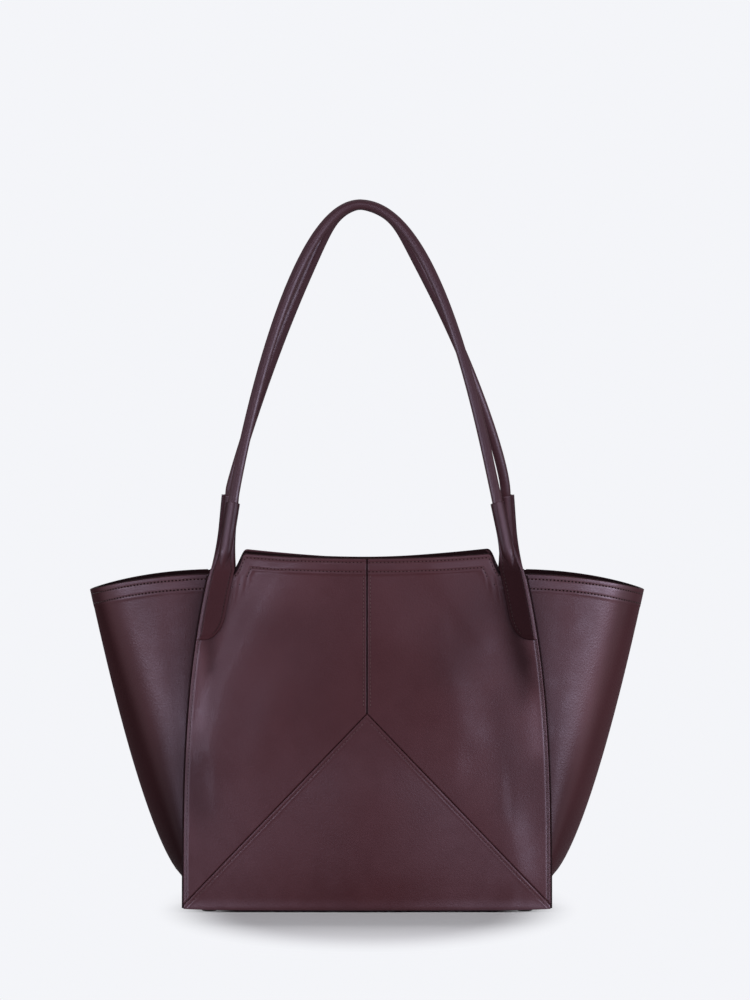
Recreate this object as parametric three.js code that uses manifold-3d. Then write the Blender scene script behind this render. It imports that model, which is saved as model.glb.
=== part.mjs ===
// Leather tote bag with V-seamed front and back, gussets flared into wings, and two rolled shoulder handles.
// Millimetres, +Z up, front towards -Y, left is -X. The origin is on the floor under the middle of the bag.
import * as THREE from "three";
import { mergeVertices } from "three/addons/utils/BufferGeometryUtils.js";
import Module from "manifold-3d";

// Panels and gussets, with heights measured from the bottom edge of the walls
const BASE_WIDTH = 257;
const RIM_WIDTH = 222;
const WIDTH_POWER = 3.1; // the panels narrow late, towards the rim
const BASE_DEPTH = 140;
const RIM_DEPTH = 112;
const PANEL_CROWN = 3.5; // how far the middle of a panel swells out halfway up
const MOUTH_BOW = 9; // how far the rim bows out between the handle tabs
const BOW_POWER = 1.5; // the bow turns back to straight just before the tabs
const SIDE_HEIGHT = 234;
const CREST_RISE = 14.2; // the middle of the front rim stands above the side rim
const CREST_SAG = 3.2; // fall of its middle between its two ends
const BACK_CREST_RISE = 13;
const BACK_CREST_SAG = 4.6;
const CREST_RUN = 7; // width of the slope from a crest down to the side rim
const SEAM_APEX = 137; // height where the centre seam meets the two slanted seams
const SEAM_FOOT = 3; // height of the slanted seams at the side edges
const SEAM_LAP = 5; // how far the gussets reach in behind the panels' side edges
const WING_START = 20; // height where the gussets come out past the panels' side edges
const WING_REACH = 86.5; // how far they stand out past the side edges at the rim
const WING_POWER = 0.66;
const WING_TUCK = 0.5; // how far they sit inside the side edges at the bottom
const WING_DROP = 12; // fall of the gusset rim from the panel to the tip of the wing

// Leather, lining and stiffener
const PANEL_LEATHER = 1.5;
const GUSSET_LEATHER = 1.4;
const BASE_LEATHER = 1.6;
const FACING_LEATHER = 1;
const FACING_HEIGHT = 15;
const LINING_CLOTH = 0.8;
const BOARD_THICKNESS = 2.5;
const GAP = 0.3; // clearance between pieces that touch

// Feet
const FOOT_HEIGHT = 2.5; // what stands out below the bottom edge
const FOOT_RADIUS = 6;
const FOOT_ROUND = 1.2;
const FOOT_INSET_X = 18; // from the side edge at the bottom
const FOOT_INSET_Y = 19; // from the front or back face at the bottom
const SHANK_RADIUS = 1.5;
const WASHER_RADIUS = 4;
const WASHER_THICKNESS = 0.6;

// Handles, with lengths measured in the leaning plane of the handle from its crease
const HANDLE_LENGTH_UP = 261; // crease to the middle of the tube at the top of the arch
const TUBE_RADIUS = 3.8;
const CORE_RADIUS = 2;
const TUBE_START = 8; // where the tube begins inside its sleeve
const CROWN_GAP = 1; // between the two handles where they lean together
const CREASE_RISE = 3; // crease above the side rim
const CREASE_GAP = 0.3;
const TAB_WIDTH = 17;
const TAB_LENGTH = 48.5;
const TAB_CORNER = 12; // width of the rounded inner corner
const TAB_CORNER_RISE = 17; // its height
const TAB_INSET = 0.5; // from the panel's side edge
const PLY = 1; // one of the two leather layers of a tab or sleeve
const SLEEVE_LENGTH = 47;
const SLEEVE_WIDTH = 11.4;
const SLEEVE_TAPER = 32; // length over which the sleeve narrows from the tab's width
const SLEEVE_SWELL = 5; // length over which the flat strap swells around the tube
const ARCH_LEAD = 8; // straight stretch of tube above each sleeve
const CROWN_SWAY = -5; // both arches lean a little to the left at the top

// Each half of an arch: inward lean of its leg, length of the leg's pull, and length of the crown's
const ARCHES = {
  front: {
    face: -1,
    left: { lean: 0.154, legPull: 10, crownPull: 51.4 },
    right: { lean: 0.207, legPull: 58, crownPull: 53.7 },
  },
  back: {
    face: 1,
    left: { lean: 0.093, legPull: 10, crownPull: 31 },
    right: { lean: 0.069, legPull: 42, crownPull: 34 },
  },
};

// Fineness of the meshes
const TUBE_HALF_SIDES = 5;
const CORE_HALF_SIDES = 3;
const TUBE_STEPS = 34;
const ROUND_SIDES = 16;
const GUSSET_COLUMNS = 16;
const PLATE_COLUMNS = 12;
const WING_LEVELS = [0.02, 0.07, 0.15, 0.28, 0.46, 0.66, 0.86]; // shares of the wing's height

const LEATHER = { color: "#4a3035", roughness: 0.5, metalness: 0 };
const SUEDE = { color: "#33201f", roughness: 0.95, metalness: 0 };
const BOARD = { color: "#6b6259", roughness: 0.9, metalness: 0 };
const DARK_METAL = { color: "#2b2423", roughness: 0.35, metalness: 0.8 };
const CORD = { color: "#b9ad98", roughness: 0.95, metalness: 0 };

const wasm = await Module();
wasm.setup();
const bag = new THREE.Group();
bag.position.z = FOOT_HEIGHT;

const { lerp, smoothstep } = THREE.MathUtils;
const sides = { left: -1, right: 1 };
const faces = { front: -1, back: 1 };
const creaseHeight = SIDE_HEIGHT + CREASE_RISE;
const tabThickness = 2 * PLY;

function addPart(parent, name, geometry, look) {
  const mesh = new THREE.Mesh(geometry, new THREE.MeshStandardMaterial(look));
  mesh.name = name;
  parent.add(mesh);
  return mesh;
}

// Six times the volume inside a closed mesh, negative where its faces point in
function volumeSign(positions, index) {
  const corner = (i) => new THREE.Vector3().fromArray(positions, 3 * index[i]);
  let sum = 0;
  for (let i = 0; i < index.length; i += 3) {
    sum += corner(i).dot(corner(i + 1).cross(corner(i + 2)));
  }
  return Math.sign(sum);
}

// Closed sheet between two grids of points, each a list of rows
function closedSheet(outer, inner) {
  const rows = outer.length;
  const columns = outer[0].length;
  const positions = [...outer.flat(), ...inner.flat()].flatMap((p) => [p.x, p.y, p.z]);
  const at = (layer, row, column) => (layer * rows + row) * columns + column;
  const index = [];
  const quad = (a, b, c, d) => index.push(a, b, c, a, c, d);
  for (let r = 0; r + 1 < rows; r++) {
    for (let c = 0; c + 1 < columns; c++) {
      quad(at(0, r, c), at(0, r, c + 1), at(0, r + 1, c + 1), at(0, r + 1, c));
      quad(at(1, r, c), at(1, r + 1, c), at(1, r + 1, c + 1), at(1, r, c + 1));
    }
  }
  const lastRow = rows - 1;
  for (let c = 0; c + 1 < columns; c++) {
    quad(at(0, 0, c), at(1, 0, c), at(1, 0, c + 1), at(0, 0, c + 1));
    quad(at(0, lastRow, c), at(0, lastRow, c + 1), at(1, lastRow, c + 1), at(1, lastRow, c));
  }
  const lastColumn = columns - 1;
  for (let r = 0; r + 1 < rows; r++) {
    quad(at(0, r, 0), at(0, r + 1, 0), at(1, r + 1, 0), at(1, r, 0));
    quad(at(0, r, lastColumn), at(1, r, lastColumn), at(1, r + 1, lastColumn), at(0, r + 1, lastColumn));
  }
  if (volumeSign(positions, index) < 0) {
    index.reverse();
  }
  const geometry = new THREE.BufferGeometry();
  geometry.setAttribute("position", new THREE.Float32BufferAttribute(positions, 3));
  geometry.setIndex(index);
  return geometry;
}

function toSolid(geometry) {
  const bare = geometry.clone();
  bare.deleteAttribute("normal");
  bare.deleteAttribute("uv");
  const merged = mergeVertices(bare, 1e-4);
  const vertProperties = new Float32Array(merged.attributes.position.array);
  const triVerts = new Uint32Array(merged.index.array);
  return new wasm.Manifold(new wasm.Mesh({ numProp: 3, vertProperties, triVerts }));
}

function toGeometry(solid) {
  const mesh = solid.getMesh();
  const geometry = new THREE.BufferGeometry();
  geometry.setAttribute("position", new THREE.Float32BufferAttribute(mesh.vertProperties, 3));
  geometry.setIndex([...mesh.triVerts]);
  return geometry;
}

const steps = (count) => Array.from({ length: count + 1 }, (_, i) => i / count);
const gridOf = (rows, columns, pointAt) => rows.map((row) => columns.map((column) => pointAt(column, row)));

// Body surfaces, as functions of the height above the bottom edge
const share = (z) => Math.max(z / SIDE_HEIGHT, 0);
const panelHalf = (z) => (BASE_WIDTH - (BASE_WIDTH - RIM_WIDTH) * share(z) ** WIDTH_POWER) / 2;
const halfDepth = (z) => lerp(BASE_DEPTH, RIM_DEPTH, share(z)) / 2;
const lapStart = (z) => panelHalf(z) - SEAM_LAP;

function wingHalf(z) {
  if (z < WING_START) {
    return panelHalf(z) - WING_TUCK * (1 - z / WING_START);
  }
  const climb = (z - WING_START) / (SIDE_HEIGHT - WING_START);
  return BASE_WIDTH / 2 + (RIM_WIDTH / 2 + WING_REACH - BASE_WIDTH / 2) * climb ** WING_POWER;
}

const tabOuter = (z) => panelHalf(z) - TAB_INSET;
const tabLow = creaseHeight - CREASE_GAP - TAB_LENGTH;

// The bow of the mouth ends at the side edges low on a panel, and at the handle tabs higher up
const bowHalf = (z) => lerp(panelHalf(z), tabOuter(z) - TAB_WIDTH, smoothstep(z, SIDE_HEIGHT / 2, tabLow));

function panelPoint(face, x, z, depth) {
  const height = Math.min(share(z), 1);
  const across = Math.min(Math.abs(x) / panelHalf(z), 1);
  const crown = PANEL_CROWN * (1 - across ** 2) * Math.sin(Math.PI * height);
  const bowShape = Math.max(1 - (x / bowHalf(z)) ** 2, 0) ** BOW_POWER;
  const bow = MOUTH_BOW * bowShape * Math.sin((Math.PI / 2) * height);
  return new THREE.Vector3(x, face * (halfDepth(z) + crown + bow - depth), z);
}

const notchHalf = tabOuter(SIDE_HEIGHT) - TAB_WIDTH;
const crestHalf = notchHalf - CREST_RUN;

function rimHeight(face, x) {
  const across = Math.abs(x);
  const [fullRise, fullSag] = face < 0 ? [CREST_RISE, CREST_SAG] : [BACK_CREST_RISE, BACK_CREST_SAG];
  const rise = fullRise * (1 - smoothstep(across, crestHalf, notchHalf));
  const sag = fullSag * Math.max(0, 1 - (across / crestHalf) ** 2);
  return SIDE_HEIGHT + rise - sag;
}

// Shares of the half-width that follow the rim: along the crest, down its slope, and across the notch
const crestShare = crestHalf / panelHalf(SIDE_HEIGHT);
const notchShare = notchHalf / panelHalf(SIDE_HEIGHT);
const rimColumns = [
  ...steps(5).map((t) => lerp(0, crestShare, t)),
  ...steps(5).slice(1).map((t) => lerp(crestShare, notchShare, t)),
  ...steps(2).slice(1).map((t) => lerp(notchShare, 1, t)),
];
const fullRimColumns = [...rimColumns.slice(1).map((t) => -t).reverse(), ...rimColumns];

// Upper panel piece between the rim, the side edge, the slanted seam and the centre seam
function upperPanel(face, side) {
  const sideTop = panelHalf(SIDE_HEIGHT);
  const topAt = (t) => {
    const x = lerp(GAP / 2, sideTop, t);
    return [x, rimHeight(face, x)];
  };
  const bottomAt = (t) => [lerp(GAP / 2, panelHalf(SEAM_FOOT), t), lerp(SEAM_APEX, SEAM_FOOT, t)];
  const edgeAt = (v) => {
    const z = lerp(SIDE_HEIGHT, SEAM_FOOT, v);
    return [panelHalf(z), z];
  };
  const pointAt = (depth) => (t, v) => {
    const [topX, topZ] = topAt(t);
    const [bottomX, bottomZ] = bottomAt(t);
    const [edgeX, edgeZ] = edgeAt(v);
    const bend = t * (edgeX - lerp(sideTop, panelHalf(SEAM_FOOT), v));
    const x = lerp(topX, bottomX, v) + bend;
    const z = lerp(topZ, bottomZ, v) + t * (edgeZ - lerp(SIDE_HEIGHT, SEAM_FOOT, v));
    return panelPoint(face, side * x, z, depth);
  };
  const rows = steps(6);
  return closedSheet(gridOf(rows, rimColumns, pointAt(0)), gridOf(rows, rimColumns, pointAt(PANEL_LEATHER)));
}

// Lower panel piece between the bottom edge and the two slanted seams
function lowerPanel(face) {
  const slope = Math.atan2(SEAM_APEX - SEAM_FOOT, BASE_WIDTH / 2);
  const seamDrop = GAP / Math.cos(slope);
  const pointAt = (depth) => (u, v) => {
    const bottomX = u * panelHalf(0);
    const topX = u * panelHalf(SEAM_FOOT);
    const topZ = lerp(SEAM_APEX, SEAM_FOOT, Math.abs(u)) - seamDrop;
    return panelPoint(face, lerp(bottomX, topX, v), topZ * v, depth);
  };
  const columns = steps(PLATE_COLUMNS).map((t) => 2 * t - 1);
  const rows = steps(5);
  return closedSheet(gridOf(rows, columns, pointAt(0)), gridOf(rows, columns, pointAt(PANEL_LEATHER)));
}

// Layer inside a panel and between the gussets' laps, from one height function to another
function panelLayer(face, depth, thickness, lowAt, highAt, rowCount) {
  const pointAt = (layerDepth) => (u, v) => {
    const rimX = u * (lapStart(SIDE_HEIGHT) - GAP);
    const z = lerp(lowAt(rimX), highAt(rimX), v);
    return panelPoint(face, u * (lapStart(z) - GAP), z, layerDepth);
  };
  const rows = steps(rowCount);
  const outer = gridOf(rows, fullRimColumns, pointAt(depth));
  return closedSheet(outer, gridOf(rows, fullRimColumns, pointAt(depth + thickness)));
}

const gussetRim = (angle) => SIDE_HEIGHT - WING_DROP * Math.cos(angle) ** 2;
const gussetAngles = steps(GUSSET_COLUMNS).map((t) => lerp(-Math.PI / 2, Math.PI / 2, t));
const wingLevels = WING_LEVELS.map((level) => lerp(WING_START, SIDE_HEIGHT, level));
const gussetLevels = [WING_START / 2, WING_START, ...wingLevels];
const gussetLap = PANEL_LEATHER + GAP; // depth of the gusset's outer face at the panels

function gussetPoint(side, angle, z, depth) {
  const reach = wingHalf(z) - lapStart(z) - depth;
  const across = halfDepth(z) - gussetLap - depth;
  return new THREE.Vector3(side * (lapStart(z) + reach * Math.cos(angle)), across * Math.sin(angle), z);
}

// Rounded layer of a side, from a flat low edge or a height under the rim up to another height under the rim
function gussetLayer(side, depth, thickness, low, belowRim) {
  const top = SIDE_HEIGHT - WING_DROP - belowRim;
  const levels = gussetLevels.filter((z) => z > low + GAP && z < top - GAP);
  const heights = [low, ...levels].map((z) => () => z);
  const rows = [...heights, (angle) => gussetRim(angle) - belowRim];
  const pointAt = (layerDepth) => (angle, row) => gussetPoint(side, angle, row(angle), layerDepth);
  const outer = gridOf(rows, gussetAngles, pointAt(depth));
  return closedSheet(outer, gridOf(rows, gussetAngles, pointAt(depth + thickness)));
}

function gussetFacing(side) {
  const rows = [(angle) => gussetRim(angle) - FACING_HEIGHT, gussetRim];
  const depth = GUSSET_LEATHER + GAP;
  const pointAt = (layerDepth) => (angle, row) => gussetPoint(side, angle, row(angle), layerDepth);
  const outer = gridOf(rows, gussetAngles, pointAt(depth));
  return closedSheet(outer, gridOf(rows, gussetAngles, pointAt(depth + FACING_LEATHER)));
}

// Outline of a floor layer inside the walls between two heights
function floorShape(low, high, holeRadius) {
  const shape = new THREE.Shape();
  const endDepth = GUSSET_LEATHER + GAP;
  const straight = halfDepth(high) - PANEL_LEATHER - GAP;
  const cornerX = lapStart(high) - GAP;
  for (const side of [1, -1]) {
    shape.lineTo(side * cornerX, -side * straight);
    for (const angle of gussetAngles) {
      const x = gussetPoint(1, angle, low, endDepth).x - GAP;
      const y = gussetPoint(1, angle, high, endDepth).y;
      shape.lineTo(side * x, side * y);
    }
    shape.lineTo(side * cornerX, side * straight);
  }
  shape.curves.shift();
  shape.closePath();
  if (holeRadius > 0) {
    for (const [x, y] of footPlaces()) {
      shape.holes.push(new THREE.Path().absarc(x, y, holeRadius, 0, 2 * Math.PI, true));
    }
  }
  return shape;
}

function footPlaces() {
  const x = BASE_WIDTH / 2 - FOOT_INSET_X;
  const y = BASE_DEPTH / 2 - FOOT_INSET_Y;
  return [[-x, -y], [x, -y], [-x, y], [x, y]];
}

function floorLayer(low, thickness, holeRadius) {
  const shape = floorShape(low, low + thickness, holeRadius);
  const depth = { depth: thickness, bevelEnabled: false, curveSegments: TUBE_HALF_SIDES };
  return new THREE.ExtrudeGeometry(shape, depth).translate(0, 0, low);
}

// Walls of the bag
for (const [faceName, face] of Object.entries(faces)) {
  for (const [sideName, side] of Object.entries(sides)) {
    addPart(bag, `${faceName}_${sideName}_panel`, upperPanel(face, side), LEATHER);
  }
  addPart(bag, `${faceName}_lower_panel`, lowerPanel(face), LEATHER);
}
for (const [sideName, side] of Object.entries(sides)) {
  addPart(bag, `${sideName}_gusset`, gussetLayer(side, 0, GUSSET_LEATHER, 0, 0), LEATHER);
  addPart(bag, `${sideName}_rim_facing`, gussetFacing(side), LEATHER);
}

// Floor: leather base, stiffening board, lining over the washers of the feet
const boardLow = BASE_LEATHER + GAP;
const washerLow = boardLow + BOARD_THICKNESS + GAP;
const liningLow = washerLow + WASHER_THICKNESS + GAP;
const wallLiningLow = liningLow + LINING_CLOTH + GAP;
addPart(bag, "base_panel", floorLayer(0, BASE_LEATHER, SHANK_RADIUS + GAP), LEATHER);
addPart(bag, "base_board", floorLayer(boardLow, BOARD_THICKNESS, SHANK_RADIUS + GAP), BOARD);
addPart(bag, "base_lining", floorLayer(liningLow, LINING_CLOTH, 0), SUEDE);

// Facing and lining behind the panels, lining inside the gussets
const layerDepth = PANEL_LEATHER + GAP;
for (const [faceName, face] of Object.entries(faces)) {
  const facingHigh = (x) => rimHeight(face, x);
  const facingLow = (x) => facingHigh(x) - FACING_HEIGHT;
  const liningHigh = (x) => facingLow(x) - GAP;
  const facing = panelLayer(face, layerDepth, FACING_LEATHER, facingLow, facingHigh, 1);
  const lining = panelLayer(face, layerDepth, LINING_CLOTH, () => wallLiningLow, liningHigh, 4);
  addPart(bag, `${faceName}_rim_facing`, facing, LEATHER);
  addPart(bag, `${faceName}_lining`, lining, SUEDE);
}
for (const [sideName, side] of Object.entries(sides)) {
  const depth = GUSSET_LEATHER + GAP;
  const lining = gussetLayer(side, depth, LINING_CLOTH, wallLiningLow, FACING_HEIGHT + GAP);
  addPart(bag, `${sideName}_lining`, lining, SUEDE);
}

// Feet riveted through the base and the board
function footGeometry() {
  const top = washerLow + WASHER_THICKNESS;
  const profile = new THREE.Path();
  profile.moveTo(0, -FOOT_HEIGHT);
  profile.lineTo(FOOT_RADIUS - FOOT_ROUND, -FOOT_HEIGHT);
  profile.absarc(FOOT_RADIUS - FOOT_ROUND, FOOT_ROUND - FOOT_HEIGHT, FOOT_ROUND, -Math.PI / 2, 0, false);
  profile.lineTo(FOOT_RADIUS, -GAP);
  profile.lineTo(SHANK_RADIUS, -GAP);
  profile.lineTo(SHANK_RADIUS, top);
  profile.lineTo(0, top);
  return new THREE.LatheGeometry(profile.getPoints(2), ROUND_SIDES).rotateX(Math.PI / 2);
}

function washerGeometry() {
  const inner = SHANK_RADIUS + GAP;
  const outer = WASHER_RADIUS;
  const corners = [[inner, 0], [outer, 0], [outer, WASHER_THICKNESS], [inner, WASHER_THICKNESS], [inner, 0]];
  const profile = corners.map(([x, y]) => new THREE.Vector2(x, y));
  return new THREE.LatheGeometry(profile, ROUND_SIDES).rotateX(Math.PI / 2).translate(0, 0, washerLow);
}

for (const [x, y] of footPlaces()) {
  const corner = `${y < 0 ? "front" : "back"}_${x < 0 ? "left" : "right"}`;
  addPart(bag, `foot_${corner}`, footGeometry(), DARK_METAL).position.set(x, y, 0);
  addPart(bag, `foot_washer_${corner}`, washerGeometry(), DARK_METAL).position.set(x, y, 0);
}

// Flat two-ply tab sewn on a panel's upper corner
function tabGeometry(face, side) {
  const roundTop = tabLow + TAB_CORNER_RISE;
  const roundRows = steps(5).map((t) => tabLow + TAB_CORNER_RISE * (1 - Math.cos((t * Math.PI) / 2)));
  const straightRows = steps(3).slice(1).map((t) => lerp(roundTop, creaseHeight - CREASE_GAP, t));
  const widthAt = (z) => {
    const into = Math.max(0, roundTop - z) / TAB_CORNER_RISE;
    return TAB_WIDTH - TAB_CORNER * (1 - Math.sqrt(1 - into ** 2));
  };
  const pointAt = (depth) => (u, z) => panelPoint(face, side * (tabOuter(z) - u * widthAt(z)), z, depth);
  const rows = [...roundRows, ...straightRows];
  const columns = steps(3);
  const outer = gridOf(rows, columns, pointAt(-GAP - tabThickness));
  return closedSheet(outer, gridOf(rows, columns, pointAt(-GAP)));
}

for (const [faceName, face] of Object.entries(faces)) {
  for (const [sideName, side] of Object.entries(sides)) {
    addPart(bag, `${faceName}_${sideName}_handle_tab`, tabGeometry(face, side), LEATHER);
  }
}

// Handles, each built in its own plane: X across, Z up the plane from the crease, Y towards the inside
const hingeDepth = halfDepth(creaseHeight) + GAP + tabThickness;
const footHalf = tabOuter(creaseHeight) - TAB_WIDTH / 2;

function planeLean() {
  const offset = PLY;
  const shift = hingeDepth - TUBE_RADIUS - CROWN_GAP / 2;
  return Math.asin(shift / Math.hypot(HANDLE_LENGTH_UP, offset)) - Math.atan2(offset, HANDLE_LENGTH_UP);
}

const archHalf = (arch, side) => (side < 0 ? arch.left : arch.right);
const legX = (arch, side, up) => footHalf - archHalf(arch, side).lean * up;

// The back handle's plane is turned around, so the left of the bag is on its right
const planeSign = (arch) => -arch.face;

function archPath(arch) {
  const place = (x, up) => new THREE.Vector3(planeSign(arch) * x, PLY, up);
  const top = place(CROWN_SWAY, HANDLE_LENGTH_UP);
  const path = new THREE.CurvePath();
  const bendUp = SLEEVE_LENGTH + ARCH_LEAD;
  const half = (side) => {
    const { legPull, crownPull } = archHalf(arch, side);
    const shoulder = place(side * legX(arch, side, bendUp), bendUp);
    const knee = place(side * legX(arch, side, bendUp + legPull), bendUp + legPull);
    const end = place(side * legX(arch, side, TUBE_START), TUBE_START);
    const crown = place(CROWN_SWAY + side * crownPull, HANDLE_LENGTH_UP);
    return { end, shoulder, knee, crown };
  };
  const left = half(-1);
  const right = half(1);
  path.add(new THREE.LineCurve3(left.end, left.shoulder));
  path.add(new THREE.CubicBezierCurve3(left.shoulder, left.knee, left.crown, top));
  path.add(new THREE.CubicBezierCurve3(top, right.crown, right.knee, right.shoulder));
  path.add(new THREE.LineCurve3(right.shoulder, right.end));
  return path;
}

function tubeGeometry(path, radius, boreRadius, halfSides) {
  const section = new THREE.Shape().absarc(0, 0, radius, 0, 2 * Math.PI, false);
  if (boreRadius > 0) {
    section.holes.push(new THREE.Path().absarc(0, 0, boreRadius, 0, 2 * Math.PI, true));
  }
  const settings = { steps: TUBE_STEPS, curveSegments: halfSides, bevelEnabled: false, extrudePath: path };
  return new THREE.ExtrudeGeometry(section, settings);
}

// Two-ply sleeve: flat at the crease, then swelling around the tube with a stitched flange on both sides
function sleeveGeometry(arch, side) {
  const swellRadius = TUBE_RADIUS + GAP + PLY;
  const tilt = Math.atan(archHalf(arch, side).lean);
  const sign = planeSign(arch) * side;
  const boreLow = TUBE_START - GAP;
  const swellUps = steps(3).map((t) => boreLow - SLEEVE_SWELL * (1 - t));
  const tubeUps = steps(4).slice(1).map((t) => lerp(boreLow, SLEEVE_LENGTH, t));
  const ups = [CREASE_GAP, ...swellUps, ...tubeUps];
  const columns = steps(10).map((t) => 2 * t - 1);
  const pointAt = (layer) => (u, up) => {
    const narrow = Math.max(0, 1 - up / SLEEVE_TAPER);
    const across = (u * (SLEEVE_WIDTH + (TAB_WIDTH - SLEEVE_WIDTH) * narrow ** 2)) / 2;
    const swell = smoothstep(up, boreLow - SLEEVE_SWELL, boreLow);
    const round = Math.sqrt(Math.max(swellRadius ** 2 - across ** 2, PLY ** 2));
    const thick = lerp(PLY, Math.max(PLY, round), swell);
    const turn = (tilt * up) / SLEEVE_LENGTH;
    const x = legX(arch, side, up) + across * Math.cos(turn);
    return new THREE.Vector3(sign * x, PLY + layer * thick, up + across * Math.sin(turn));
  };
  const outer = closedSheet(gridOf(ups, columns, pointAt(-1)), gridOf(ups, columns, pointAt(1)));
  const boreRadius = TUBE_RADIUS + GAP;
  const bore = new THREE.CylinderGeometry(boreRadius, boreRadius, SLEEVE_LENGTH, 2 * TUBE_HALF_SIDES);
  bore.translate(0, SLEEVE_LENGTH / 2, 0).rotateX(Math.PI / 2).rotateY(-sign * tilt);
  bore.translate(sign * legX(arch, side, boreLow), PLY, boreLow);
  return toGeometry(toSolid(outer).subtract(toSolid(bore)));
}

for (const [faceName, arch] of Object.entries(ARCHES)) {
  const turned = new THREE.Group();
  turned.rotation.z = arch.face < 0 ? 0 : Math.PI;
  const plane = new THREE.Group();
  plane.position.set(0, -hingeDepth, creaseHeight);
  plane.rotation.x = -planeLean();
  turned.add(plane);
  bag.add(turned);
  const path = archPath(arch);
  const wrap = tubeGeometry(path, TUBE_RADIUS, CORE_RADIUS + GAP, TUBE_HALF_SIDES);
  addPart(plane, `${faceName}_handle_wrap`, wrap, LEATHER);
  addPart(plane, `${faceName}_handle_core`, tubeGeometry(path, CORE_RADIUS, 0, CORE_HALF_SIDES), CORD);
  for (const [sideName, side] of Object.entries(sides)) {
    addPart(plane, `${faceName}_${sideName}_handle_sleeve`, sleeveGeometry(arch, side), LEATHER);
  }
}

const object = new THREE.Group();
object.add(bag);
export default object;
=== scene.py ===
import math

import bmesh
import bpy
import numpy as np
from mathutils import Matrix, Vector


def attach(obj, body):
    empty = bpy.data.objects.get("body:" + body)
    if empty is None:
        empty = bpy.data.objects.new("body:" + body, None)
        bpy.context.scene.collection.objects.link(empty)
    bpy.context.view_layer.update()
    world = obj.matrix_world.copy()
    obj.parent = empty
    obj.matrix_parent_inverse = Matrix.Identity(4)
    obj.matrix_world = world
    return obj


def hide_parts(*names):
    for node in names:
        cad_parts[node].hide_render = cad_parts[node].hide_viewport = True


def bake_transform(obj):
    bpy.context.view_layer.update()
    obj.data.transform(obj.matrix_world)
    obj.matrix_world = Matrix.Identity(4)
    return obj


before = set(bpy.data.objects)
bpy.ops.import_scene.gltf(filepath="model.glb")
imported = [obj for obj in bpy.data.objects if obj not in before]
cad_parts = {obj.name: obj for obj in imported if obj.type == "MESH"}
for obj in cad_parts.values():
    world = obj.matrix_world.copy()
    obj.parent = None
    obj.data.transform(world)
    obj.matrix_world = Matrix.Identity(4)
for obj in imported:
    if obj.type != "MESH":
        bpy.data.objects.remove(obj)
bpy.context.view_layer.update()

# Sizes in millimetres, with heights from the bottom edge of the walls, as in the frame's own model
MM = 0.001
FOOT_HEIGHT = 2.5
BASE_WIDTH = 257
RIM_WIDTH = 222
WIDTH_POWER = 3.1
BASE_DEPTH = 140
RIM_DEPTH = 112
PANEL_CROWN = 3.5
MOUTH_BOW = 9
BOW_POWER = 1.5
SIDE_HEIGHT = 234
CREST_RISE = {"front": 14.2, "back": 13}
CREST_SAG = {"front": 3.2, "back": 4.6}
CREST_LIFT = {"front": 0, "back": 1.6}  # how much higher the right half of a rim stands
CREST_RUN = 7
SEAM_APEX = 137
SEAM_FOOT = 3
SEAM_LAP = 5
WING_START = 20
WING_REACH = 86.5
WING_POWER = 0.66
WING_TUCK = 0.5
WING_DROP = 12
PANEL_LEATHER = 1.5
GUSSET_LEATHER = 1.4
BASE_LEATHER = 1.6
FACING_LEATHER = 1
FACING_HEIGHT = 15
LINING_CLOTH = 0.8
LINING_LOW = 5.6
GAP = 0.3
FOOT_INSET_X = 18
FOOT_INSET_Y = 19
# Outline of a foot as radius and height, from its flat underside to the top of its shank
FOOT_OUTLINE = [(3.4, -2.5), (4.6, -2.25), (5.5, -1.6), (5.95, -0.75), (6, -0.3), (1.5, -0.3), (1.5, 5.3)]
HANDLE_LENGTH_UP = 261
TUBE_RADIUS = 3.8
TUBE_START = 8
CORE_RADIUS = 2
CROWN_GAP = 1
CROWN_SWAY = -5
CREASE_RISE = 3
CREASE_GAP = 0.3
TAB_WIDTH = 17
TAB_LENGTH = 48.5
TAB_CORNER = 12
TAB_CORNER_RISE = 17
TAB_INSET = 0.5
PLY = 1
SLEEVE_LENGTH = 47
SLEEVE_TAPER = 30
ARCH_LEAD = 8
SHOULDER_DROP = 11  # how far below the crown an arch's shoulders stand out most
ARCHES = {
    "front": {
        "sleeve_width": 9.8,
        "sleeve_end": 48,
        "left": {"lean": 0.154, "leg_pull": 10, "crown_pull": 51.4, "shoulder": 0},
        "right": {"lean": 0.207, "leg_pull": 58, "crown_pull": 53.7, "shoulder": 0},
    },
    "back": {
        "sleeve_width": 12.4,
        "sleeve_end": 51,
        "left": {"lean": 0.093, "leg_pull": 10, "crown_pull": 31, "shoulder": 3.2},
        "right": {"lean": 0.069, "leg_pull": 42, "crown_pull": 34, "shoulder": 5.2},
    },
}
FACES = {"front": -1, "back": 1}
SIDES = {"left": -1, "right": 1}
crease_height = SIDE_HEIGHT + CREASE_RISE
tab_low = crease_height - CREASE_GAP - TAB_LENGTH

# Soft shape of the sewn leather. A ramp is two values and the places between which one turns into the other
SEAM_ROLL = 1  # width over which a seamed edge rolls in
SEAM_SINK = 0.8
EDGE_ROLL = 0.6
THIN_EDGE = 0.2  # least thickness of an edge that turns in
RIM_PAINT = 0.45  # height of the painted bead on the rim
EDGE_PAINT = 0.6  # and on the side edges
PAINT_INSET = (0.8, 0, 8, 14)  # ramp upwards of how much further in that bead reaches
PAINT_ENDS = (0.5, SIDE_HEIGHT - 1)
HEM_ROWS = {"panel": (2.4, 9), "gusset": (3.4, 10.2)}  # stitch rows below the rim
HEM_LAP = 2.2  # how far the turned hem reaches below its lower row
HEM_FALL = (-1, 1.2)  # where the hem falls away, from the end of its lap
HEM_RAISE = {"panel": 0.4, "gusset": 0.2}
HEM_ENDS = (1.5, 1)  # where a panel's rows start beside its middle and end past its flanks
GROOVE_WIDTH = 0.7
RIM_CORNER = 2.4  # how far the corners of the rim are rounded
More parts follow.
